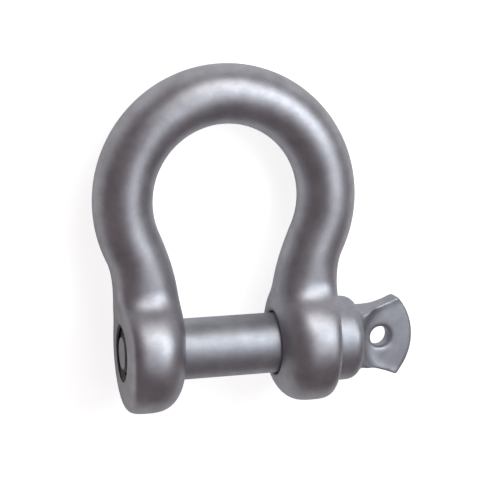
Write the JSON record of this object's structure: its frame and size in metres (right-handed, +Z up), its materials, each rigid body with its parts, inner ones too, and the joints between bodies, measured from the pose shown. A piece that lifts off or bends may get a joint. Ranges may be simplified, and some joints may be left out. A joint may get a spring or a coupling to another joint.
{
  "type": "screw pin bow shackle",
  "caption": "Forged bow shackle that joins chain ends: an omega-shaped bar with a round eye at each foot, closed by a screw pin with a collar and a flat paddle head.",
  "frame": {"origin": "on the pin's axis, midway between the two eyes", "axes": "+X along the pin towards its paddle, +Y towards the crown of the bow, +Z up from the ground that the shackle lies on"},
  "size_m": [0.1412, 0.1456, 0.0519],
  "materials": {
    "bow": "satin hot-dip galvanised",
    "pin": "satin zinc plated"
  },
  "bodies": {
    "bow": {"shackle_bow": "bow"},
    "pin": {"screw_pin": "pin"}
  },
  "joints": [
    {"name": "pin_withdraw", "type": "slide", "parent": "bow", "child": "pin", "axis": [1, 0, 0], "range_m": [0, 0.088]}
  ]
}
